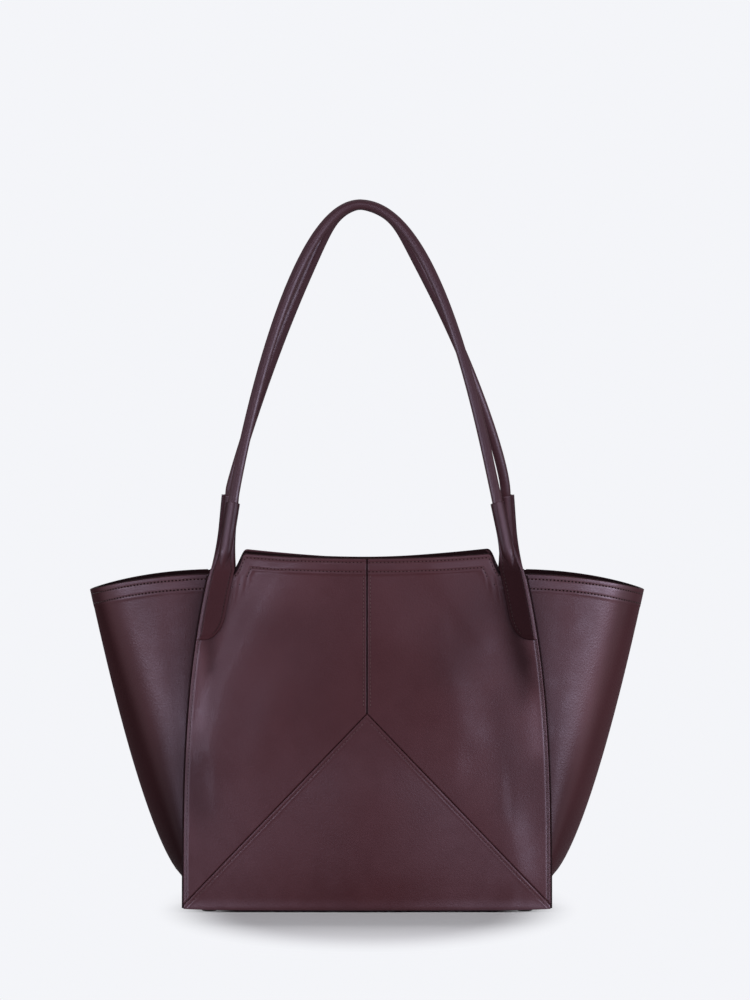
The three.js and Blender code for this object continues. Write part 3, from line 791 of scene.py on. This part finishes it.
def add_lower_panel(face_name, face):
    """Leather triangle between the bottom edge and the two slanted seams."""
    half = spaced((0, 0.04, 8), (0.04, 0.94, 34), (0.94, 1, 14))
    u = np.concatenate([-half[:0:-1], half])
    v = ((1 - np.cos(np.pi * spaced((0, 1, 80)))) / 2)[:, None]
    seam_gap = GAP / slant_cos
    top_z = lerp(SEAM_APEX, SEAM_FOOT, abs(u)) - seam_gap
    x = u * lerp(panel_half(0), seam_side, v)
    z = lerp(BOTTOM_SAG * (u**BOTTOM_POWER - 1), top_z, v)
    under_slant = np.maximum(slant_height(x) - seam_gap - z, 0) * slant_cos
    beside = panel_half(z) - abs(x)
    band = 1 - smoothstep(under_slant, *SLANT_BAND) - groove(under_slant, SLANT_ROW)
    sink = SEAM_SINK * rolled(under_slant, SEAM_ROLL) - SLANT_RAISE * band
    sink += BOTTOM_TURN * rolled(z + BOTTOM_SAG, BOTTOM_ROLL) + EDGE_ROLL * rolled(beside, EDGE_ROLL)
    outer = panel_point(face, x, z, sink)
    inner = panel_point(face, x, z, PANEL_LEATHER)
    turned = (sink > PANEL_LEATHER - THIN_EDGE)[..., None]
    inner = np.where(turned, outer - [0, face * THIN_EDGE, 0], inner)
    piece = closed_sheet(f"{face_name}_lower_leather", outer, inner, panel_leather)
    # Painted sheen on the lower piece, ramped outwards, to the right and upwards
    gloss = ramp(abs(x), *LOWER_SHEEN) * ramp(x, *LOWER_RIGHT_SHEEN)
    for rise in LOWER_RISE_SHEEN:
        gloss = gloss * ramp(z + FOOT_HEIGHT, *rise)
    shade_sheet(piece, gloss=gloss)
    place_piece(piece, "bag", "panel_leather", f"{face_name}_lower_panel")


def inset_line(line, distance):
    """Line of points moved down by a distance at right angles, without the loops at its inner corners."""
    tolerance = 0.05
    moved = line + distance * right_of(line)
    nearest = np.array([np.linalg.norm(line - p, axis=1).min() for p in moved])
    return moved[nearest > distance - tolerance]


def sew_panel(face_name, face):
    """Stitches below the rim, beside the centre seam, under the slanted seams and inside the side edges."""
    rows = {"hem": [], "seam": []}
    for distance in HEM_ROWS["panel"]:
        x, z = inset_line(rim_line(face_name), distance).T
        for side in SIDES.values():
            half = (side * x > HEM_ENDS[0]) & (abs(x) < notch_half + HEM_ENDS[1])
            rows["hem"].append(panel_row(face, x[half], z[half]))
    centre_top = rim_height(face_name, 0) - HEM_ROWS["panel"][-1] - HEM_LAP
    for side in SIDES.values():
        z = np.linspace(*SIDE_ROW_ENDS, 300)
        rows["seam"].append(panel_row(face, side * (panel_half(z) - SIDE_ROW), z, WELT_GROOVE))
        x = np.linspace(*SLANT_ROW_ENDS, 300) * seam_side
        rows["seam"].append(panel_row(face, side * x, slant_height(x) - (GAP + SLANT_ROW) / slant_cos))
        z = np.linspace(SEAM_APEX + 2 * CENTRE_ROW, centre_top, 200)
        rows["seam"].append(panel_row(face, np.full_like(z, side * CENTRE_ROW), z))
    for kind in rows:
        for piece in sew(f"{face_name}_{kind}", rows[kind], thread, kind):
            place_piece(piece, "bag", "panel_leather")


def paint_panel(face_name, face):
    for side_name, side in SIDES.items():
        z = np.linspace(*PAINT_ENDS, 130)
        inset = ramp(z, *PAINT_INSET)
        row = panel_row(face, side * (panel_half(z) + EDGE_PAINT - inset), z, PANEL_LEATHER / 2)
        paint_edge(f"{face_name}_{side_name}_side_edge", *row, PANEL_LEATHER, EDGE_PAINT + inset)
    row = panel_row(face, *rim_line(face_name).T, rim_thickness / 2)
    paint_edge(f"{face_name}_rim_edge", *row, rim_thickness, RIM_PAINT)


for face_name, face in FACES.items():
    add_upper_panels(face_name, face)
    add_lower_panel(face_name, face)
    sew_panel(face_name, face)
    paint_panel(face_name, face)

# Gussets that flare into the wings
gusset_angle = spaced((-1, -0.8, 28), (-0.8, 0.8, 70), (0.8, 1, 28)) * np.pi / 2
wing_angle = np.linspace(-1.5, 1.5, 400)


def shade_gusset(piece, look, z, below, past_edge):
    # Painted shade at the bend, beside the seams and towards the foot, and a painted highlight in front of
    # the bend
    facing = abs(np.sin(gusset_angle)) + look["bend_tilt"] * (z - BEND_LEVEL)
    front = smoothstep(facing, *BEND_FRONT)
    painted_sheen = look["painted_sheen"] * bell(facing - look["shine_line"], SHINE_WIDTH) * smoothstep(z, *SHINE_RISE)
    dye = lerp(look["bend_dye"], 1, front) * ramp(past_edge, look["seam_dye"], 1, 0, SEAM_REACH)
    dye = dye * ramp(z, look["foot_dye"], 1, *FOOT_RISE)
    seam_gloss = ramp(z, 1, look["seam_gloss"], *SEAM_RISE)
    gloss = lerp(look["bend_gloss"], 1, front) * ramp(past_edge, seam_gloss, 1, 0, SEAM_REACH)
    gloss = gloss * hem_gloss(below, "gusset")
    shade_sheet(piece, dye=dye * (1 + PAINTED_LIGHT_TINT * painted_sheen), gloss=gloss * (1 + PAINTED_LIGHT_SHEEN * painted_sheen))


def add_gusset(side_name, side):
    rim = gusset_rim(gusset_angle)
    hem = rim - hem_steps
    low = spaced((0, 1, 44))[1:, None] ** ROW_POWER
    z = np.concatenate([hem, lerp(hem[-1], 0, low)])
    below = rim - z
    edge = EDGE_ROLL * rolled(below, EDGE_ROLL)
    outer = gusset_point(side, gusset_angle, z, edge - hem_relief(below, "gusset"))
    inner = gusset_point(side, gusset_angle, z, GUSSET_LEATHER - edge / 2)
    piece = closed_sheet(f"{side_name}_gusset_leather", outer, inner, panel_leather)
    shade_gusset(piece, GUSSET_SHADING[side_name], z, below, abs(outer[..., 0]) - panel_half(z))
    place_piece(piece, "bag", "panel_leather", f"{side_name}_gusset")
    wing_rim = gusset_rim(wing_angle)
    rows = [gusset_row(side, wing_angle, wing_rim - distance) for distance in HEM_ROWS["gusset"]]
    for piece in sew(f"{side_name}_gusset", rows, thread, "gusset"):
        place_piece(piece, "bag", "panel_leather")
    row = gusset_row(side, wing_angle, wing_rim, rim_thickness / 2)
    paint_edge(f"{side_name}_rim_edge", *row, rim_thickness, RIM_PAINT)

    def wall(z, depth):
        return gusset_point(side, gusset_angle, z, depth)

    line_wall(side_name, wall, rim, GUSSET_LEATHER, f"{side_name}_gusset_leather")


for side_name, side in SIDES.items():
    add_gusset(side_name, side)


# Facing and lining behind the panels
lining_u = np.linspace(-1, 1, 121)
for face_name, face in FACES.items():

    def wall(z, depth):
        return panel_point(face, lining_u * (lap_start(z) - GAP), z, depth)

    rim = rim_height(face_name, lining_u * (lap_start(SIDE_HEIGHT) - GAP))
    leathers = [f"{face_name}_{place}_leather" for place in ("left", "right", "lower")]
    line_wall(face_name, wall, rim, PANEL_LEATHER, *leathers)


# Base
def floor_grid(low, sag):
    angle = np.linspace(-1, 1, 61)[:, None] * np.pi / 2
    u = np.linspace(-1, 1, 101)
    side_points = gusset_point(1, angle, low, GUSSET_LEATHER + GAP)
    x = u * (side_points[..., 0] - GAP)
    drop = sag * (1 - abs(u) ** BASE_POWERS[0]) * (1 - abs(np.sin(angle)) ** BASE_POWERS[1])
    return joined(x, side_points[..., 1], low + FOOT_HEIGHT - drop)


bottom = floor_grid(0, BASE_SAG["bottom"])
top = floor_grid(BASE_LEATHER, BASE_SAG["top"])
piece = closed_sheet("base_leather", bottom, top, panel_leather)
place_piece(piece, "bag", "panel_leather", "base_panel")
bottom = floor_grid(LINING_LOW, 0)
top = floor_grid(LINING_LOW + LINING_CLOTH, 0)
piece = closed_sheet("base_suede", bottom, top, suede)
place_piece(piece, "bag", "lining", "base_lining")

# Feet
foot_turn = round_turn(48)
foot_radius, foot_rise = np.array(FOOT_OUTLINE).T[..., None]
for y_name, y_sign in FACES.items():
    for x_name, x_sign in SIDES.items():
        x = x_sign * (BASE_WIDTH / 2 - FOOT_INSET_X)
        y = y_sign * (BASE_DEPTH / 2 - FOOT_INSET_Y)
        z = foot_rise + FOOT_HEIGHT
        rings = joined(x + foot_radius * np.cos(foot_turn), y + foot_radius * np.sin(foot_turn), z)
        piece = swept_tube(f"foot_{y_name}_{x_name}_stud", joined(x, y, z[:, 0]), rings, foot_metal)
        place_piece(piece, "bag", "foot_metal", f"foot_{y_name}_{x_name}")

# Handles
hinge_depth = half_depth(crease_height) + GAP + 2 * PLY
foot_half = tab_outer(crease_height) - TAB_WIDTH / 2
crown_shift = hinge_depth - TUBE_RADIUS - CROWN_GAP / 2
plane_lean = math.asin(crown_shift / math.hypot(HANDLE_LENGTH_UP, PLY)) - math.atan2(PLY, HANDLE_LENGTH_UP)


def handle_point(face, x, y, up):
    """Point of a handle's leaning plane, with y from its outer face towards the inside."""
    outward = hinge_depth - y * math.cos(plane_lean) - up * math.sin(plane_lean)
    height = crease_height + up * math.cos(plane_lean) - y * math.sin(plane_lean) + FOOT_HEIGHT
    return joined(x, face * outward, height)


def leg_x(half, up):
    return foot_half - half["lean"] * up


def arch_path(half, side):
    """Half of the tube's path, from inside the sleeve to the crown, as x and height up the handle's plane."""
    bend_up = SLEEVE_LENGTH + ARCH_LEAD
    knee_up = bend_up + half["leg_pull"]
    straight = spaced((TUBE_START, bend_up, 18))
    line = joined(side * leg_x(half, straight), straight)
    a, b, c, d = np.array([
        (side * leg_x(half, bend_up), bend_up),
        (side * leg_x(half, knee_up), knee_up),
        (CROWN_SWAY + side * half["crown_pull"], HANDLE_LENGTH_UP),
        (CROWN_SWAY, HANDLE_LENGTH_UP),
    ])
    t = spaced((0, 1, 90))[1:, None]
    curve = (1 - t) ** 3 * a + 3 * (1 - t) ** 2 * t * b + 3 * (1 - t) * t**2 * c + t**3 * d
    drop = (HANDLE_LENGTH_UP - curve[:, 1]) / SHOULDER_DROP
    curve[:, 0] += side * half["shoulder"] * drop * np.exp(1 - drop)
    return np.concatenate([line, curve])


def ridge_height(up):
    return RIDGE_HEIGHT * smoothstep(up, 0, RIDGE_RUN)


def add_tube(face_name, arch, face):
    """Rolled leather with a seam sewn along its inner side, and the cord inside it."""
    body = f"{face_name}_handle"
    path = np.concatenate([arch_path(arch["right"], 1), arch_path(arch["left"], -1)[-2::-1]])
    outward = right_of(path)
    turn = round_turn(28)

    def rings(size):
        x = path[:, :1] + outward[:, :1] * size * np.cos(turn)
        up = path[:, 1:] + outward[:, 1:] * size * np.cos(turn)
        return handle_point(face, x, PLY - size * np.sin(turn), up)

    covered = np.minimum(TUBE_RADIUS, TUBE_TIP + ridge_height(path[:, 1:]))
    radius = np.where(path[:, 1:] < arch["sleeve_end"] - SLEEVE_LIP, covered, TUBE_RADIUS)
    from_seam = np.minimum(abs(turn - np.pi), 1) * TUBE_RADIUS
    seam = TUBE_SEAM_DEPTH * bell(from_seam, TUBE_SEAM_WIDTH) * (radius > CORE_RADIUS)
    centres = handle_point(face, path[:, 0], PLY, path[:, 1])
    tube = swept_tube(f"{body}_roll", centres, rings(radius - seam), strap_leather)
    place_piece(tube, body, "strap_leather", f"{body}_wrap")
    core_radius = np.minimum(CORE_RADIUS, radius - CORE_COVER)
    core = swept_tube(f"{body}_cord", centres, rings(core_radius), cord_fibre)
    place_piece(core, body, "cord_core", f"{body}_core")
    shown = path[:, 1] > arch["sleeve_end"] + SLEEVE_LIP
    x, up = (path - outward * (TUBE_RADIUS - TUBE_STITCH_SINK))[shown].T
    inner_x, inner_up = (x, up) - outward[shown].T
    line = handle_point(face, x, PLY, up)
    inside = handle_point(face, inner_x, PLY, inner_up)
    for piece in sew(body, [(line, inside - line)], dark_thread, "handle"):
        place_piece(piece, body, "strap_leather")


strap_low = tab_low - crease_height


def strap_frame(face, arch, side_name, s, u):
    """Middle surface of a strap and its width. s runs up from the crease, u from the outer edge inwards."""
    side = SIDES[side_name]
    half = arch[side_name]
    z = crease_height + np.minimum(s, 0)
    into = np.clip((strap_low + TAB_CORNER_RISE - s) / TAB_CORNER_RISE, 0, 1)
    tab_width = TAB_WIDTH - TAB_CORNER * (1 - np.sqrt(1 - into**2))
    tab = panel_point(face, side * (tab_outer(z) - u * tab_width), z, -GAP - PLY)
    up = np.maximum(s, 0)
    narrow = np.maximum(0, 1 - up / SLEEVE_TAPER)
    sleeve_width = lerp(arch["sleeve_width"], TAB_WIDTH, narrow**2)
    across = (0.5 - u) * sleeve_width
    turn = math.atan(half["lean"]) * up / SLEEVE_LENGTH
    x = leg_x(half, up) + across * np.cos(turn)
    sleeve = handle_point(face, side * x, PLY, up + across * np.sin(turn))
    return np.where((s < 0)[..., None], tab, sleeve), np.where(s < 0, tab_width, sleeve_width)


def strap_grid(face, arch, side_name):
    """Middle surface of a strap with its normals and half thickness, and the places of its points in it."""
    corner = strap_low + TAB_CORNER_RISE
    end = arch["sleeve_end"]
    tab_steps = ((strap_low, strap_low + 3, 12), (strap_low + 3, corner, 14), (corner, -4, 16))
    s = spaced(*tab_steps, (-4, 4, 10), (4, end - 1, 34), (end - 1, end, 3))
    u = spaced((0, 0.2, 14), (0.2, 0.8, 34), (0.8, 1, 14))
    s, u = np.meshgrid(s, u, indexing="ij")
    middle, width = strap_frame(face, arch, side_name, s, u)
    from_edge = np.minimum(u, 1 - u) * width
    across = (0.5 - u) * width
    from_end = np.minimum(s - strap_low, end - s)
    from_border = np.minimum(from_edge, np.maximum(s - strap_low, 0))
    ridge_half = ramp(s, RIDGE_TIP, RIDGE_HALF, 0, RIDGE_RUN)
    thick = PLY + ridge_height(s) * np.sqrt(np.maximum(1 - (across / ridge_half) ** 2, 0))
    thick -= BEVEL_DROP * np.clip(1 - from_border / BEVEL_WIDTH, 0, 1)
    thick -= BEVEL_GROOVE * groove(from_border, BEVEL_WIDTH)
    thick -= CUT_DROP * rolled(np.minimum(from_edge, from_end), CUT_ROLL)
    normal = unit(np.cross(np.gradient(middle, axis=0), np.gradient(middle, axis=1)))
    normal *= np.sign(face * normal[..., 1:2])
    return middle, normal * thick[..., None], s, across, u * width, from_edge


def strap_row(face, arch, side_name, edge_u, s):
    """Points and normals along the bevel beside one edge of a strap."""
    step_s = 0.2
    step_u = 0.01
    _, width = strap_frame(face, arch, side_name, s, np.full_like(s, edge_u))
    u = abs(edge_u - BEVEL_WIDTH / width)
    here, _ = strap_frame(face, arch, side_name, s, u)
    ahead, _ = strap_frame(face, arch, side_name, s + step_s, u)
    beside, _ = strap_frame(face, arch, side_name, s, u + step_u)
    normal = unit(np.cross(ahead - here, beside - here))
    normal *= np.sign(face * normal[:, 1:2])
    return here + normal * (PLY - STITCH_SINK), normal


def shade_strap(piece, side_name, s, across, from_outer, from_edge):
    """Painted shade on the tab with a painted highlight on its bevel outside, and a painted highlight streak
    on the ridge of the sleeve.
    """
    # Painted highlight streak on the sleeve's ridge, with painted shade beside it
    highlight_streak = bell(across - HIGHLIGHT_SHIFT, HIGHLIGHT_WIDTH)
    flange = smoothstep(abs(across) - RIDGE_HALF, -FLANGE_TURN, FLANGE_TURN)
    cut = ramp(from_edge, *CUT_SHADE)
    bevel = from_outer < BEVEL_WIDTH
    tab_dye = np.where(bevel, BEVEL_HIGHLIGHT, TAB_SHADE[side_name])
    sleeve_dye = lerp(lerp(*HIGHLIGHT_TINT, highlight_streak), 1, flange) * cut
    tab_gloss = np.where(bevel, 1, TAB_SHEEN[side_name])
    sleeve_gloss = lerp(lerp(*HIGHLIGHT_SHEEN, highlight_streak), FLANGE_SHEEN, flange) * cut
    dye = ramp(s, tab_dye, sleeve_dye, *TAB_SHADE_END)
    shade_sheet(piece, dye=dye, gloss=ramp(s, tab_gloss, sleeve_gloss, *TAB_SHEEN_END))


def add_strap(face_name, arch, face, side_name):
    """Tab and sleeve as one strap."""
    name = f"{face_name}_{side_name}"
    middle, rise, *places = strap_grid(face, arch, side_name)
    piece = closed_sheet(f"{name}_strap", middle + rise, middle - rise, strap_leather)
    shade_strap(piece, side_name, *places)
    row_starts = {0.0: strap_low + BEVEL_WIDTH, 1.0: strap_low + INNER_ROW_START}
    rows = [
        strap_row(face, arch, side_name, edge_u, np.linspace(start, STRAP_ROWS_END, 200))
        for edge_u, start in row_starts.items()
    ]
    for part in (piece, *sew(f"{name}_strap", rows, dark_thread, "strap")):
        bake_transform(part)
    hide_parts(f"{name}_handle_tab", f"{name}_handle_sleeve")


for face_name, arch in ARCHES.items():
    add_tube(face_name, arch, FACES[face_name])
    for side_name in SIDES:
        add_strap(face_name, arch, FACES[face_name], side_name)


# Hidden pieces that keep their solids
def cover(node_name, material):
    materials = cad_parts[node_name].data.materials
    materials.clear()
    materials.append(material)


cover("base_board", board_fibre)
for y_name in FACES:
    for x_name in SIDES:
        cover(f"foot_washer_{y_name}_{x_name}", washer_steel)

# Floor, background, light and camera, in metres
PALE = (0.905, 0.913, 0.945, 1)
WORLD_LIGHT = (0.96, 0.97, 1, 1)
WORLD_STRENGTH = 0.08
FLOOR_RADIUS = 60
FLOOR_SIDES = 96
# Colour of the matt floor near the object, darker than the pale background as a painted shadow
FLOOR_NEAR_SHADED = (0.66, 0.665, 0.685, 1)
FLOOR_LIT = (0.2, 0.2, 0.2, 1)  # darker for the light that it sends back
SHADOW_SQUEEZE = (3.3, 0.8, 1)  # the matt floor around the object is an oval
SHADOW_END = (0.3, 0.5)
LAMP_COLOUR = (1, 0.98, 1)
scene = bpy.context.scene


def seen_directly(tree):
    """1 for camera, glossy and transmission rays, which see the pale background."""
    rays = add_node(tree, "ShaderNodeLightPath").outputs
    first = combine(tree, "MAXIMUM", rays["Is Camera Ray"], rays["Is Glossy Ray"])
    return combine(tree, "MAXIMUM", first, rays["Is Transmission Ray"])


def make_world():
    world = bpy.data.worlds.new("studio")
    world.use_nodes = True
    tree = world.node_tree
    lit = tree.nodes["Background"]
    set_inputs(tree, lit, {"Color": WORLD_LIGHT, "Strength": WORLD_STRENGTH})
    pale = add_node(tree, "ShaderNodeBackground", {"Color": PALE, "Strength": 1})
    surface = mix_shaders(tree, seen_directly(tree), lit.outputs["Background"], pale.outputs["Background"])
    set_inputs(tree, tree.nodes["World Output"], {"Surface": surface})
    return world


def floor_material():
    """Matt around the object, painted darker as a shadow and keeping its cast shadow, and the plain pale
    background further away.
    """
    material, tree, shader = new_material("floor")
    tree.nodes.remove(shader)
    direct = seen_directly(tree)
    lit = add_node(tree, "ShaderNodeBsdfDiffuse", {"Color": FLOOR_LIT})
    seen = add_node(tree, "ShaderNodeBsdfDiffuse", {"Color": FLOOR_NEAR_SHADED})
    matt = mix_shaders(tree, direct, lit.outputs["BSDF"], seen.outputs["BSDF"])
    glow = add_node(tree, "ShaderNodeEmission", {"Color": PALE, "Strength": 1})
    inputs = {0: object_place(tree), 1: SHADOW_SQUEEZE}
    squeeze = add_node(tree, "ShaderNodeVectorMath", inputs, operation="MULTIPLY")
    length = add_node(tree, "ShaderNodeVectorMath", {0: squeeze.outputs["Vector"]}, operation="LENGTH")
    far = soft_step(tree, length.outputs["Value"], *SHADOW_END)
    surface = mix_shaders(tree, combine(tree, "MULTIPLY", far, direct), matt, glow.outputs["Emission"])
    set_inputs(tree, tree.nodes["Material Output"], {"Surface": surface})
    return material


scene.world = make_world()
floor_mesh = bpy.data.meshes.new("floor")
ring = [(FLOOR_RADIUS * math.cos(a), FLOOR_RADIUS * math.sin(a), 0) for a in round_turn(FLOOR_SIDES)]
floor_mesh.from_pydata(ring, [], [list(range(FLOOR_SIDES))])
floor_mesh.materials.append(floor_material())
floor = bpy.data.objects.new("floor", floor_mesh)
scene.collection.objects.link(floor)


def softbox(name, place, aim, size, watts):
    light = bpy.data.lights.new(name, "AREA")
    light.shape = "RECTANGLE"
    light.size, light.size_y = size
    light.energy = watts
    light.color = LAMP_COLOUR
    lamp = bpy.data.objects.new(name, light)
    lamp.location = place
    lamp.rotation_euler = (Vector(aim) - Vector(place)).to_track_quat("-Z", "Y").to_euler()
    scene.collection.objects.link(lamp)


softbox("front_key", place=(0, -2.5, 1.35), aim=(0, 0, 0.28), size=(1.6, 0.6), watts=13)
softbox("left_key", place=(-2.03, -1.27, 0.5), aim=(0, 0, 0.2), size=(1.4, 0.6), watts=32)
softbox("right_key", place=(2.03, -1.27, 0.5), aim=(0, 0, 0.2), size=(1.4, 0.6), watts=50)
softbox("left_strip", place=(-1.17, -2.39, 0.4), aim=(0, 0, 0.2), size=(0.25, 0.9), watts=14)
softbox("right_strip", place=(1.12, -2.41, 0.3), aim=(0, 0, 0.2), size=(0.25, 0.7), watts=11)
softbox("back_key", place=(0, 1.8, 1.9), aim=(0, 0, 0), size=(1.8, 1.2), watts=60)

CAMERA_AIM = Vector((0.0056, -0.065, 0.2888))
CAMERA_DISTANCE = 12
CAMERA_RISE = math.radians(1.5)
FIELD_HEIGHT = 0.7
SENSOR_HEIGHT = 36  # in millimetres, like the lens
camera_data = bpy.data.cameras.new("camera")
camera_data.sensor_fit = "VERTICAL"
camera_data.sensor_height = SENSOR_HEIGHT
camera_data.lens = SENSOR_HEIGHT * CAMERA_DISTANCE / FIELD_HEIGHT
camera = bpy.data.objects.new("camera", camera_data)
away = Vector((0, -math.cos(CAMERA_RISE), math.sin(CAMERA_RISE)))
camera.location = CAMERA_AIM + CAMERA_DISTANCE * away
camera.rotation_euler = (-away).to_track_quat("-Z", "Y").to_euler()
scene.collection.objects.link(camera)
scene.camera = camera
scene.view_settings.view_transform = "Standard"
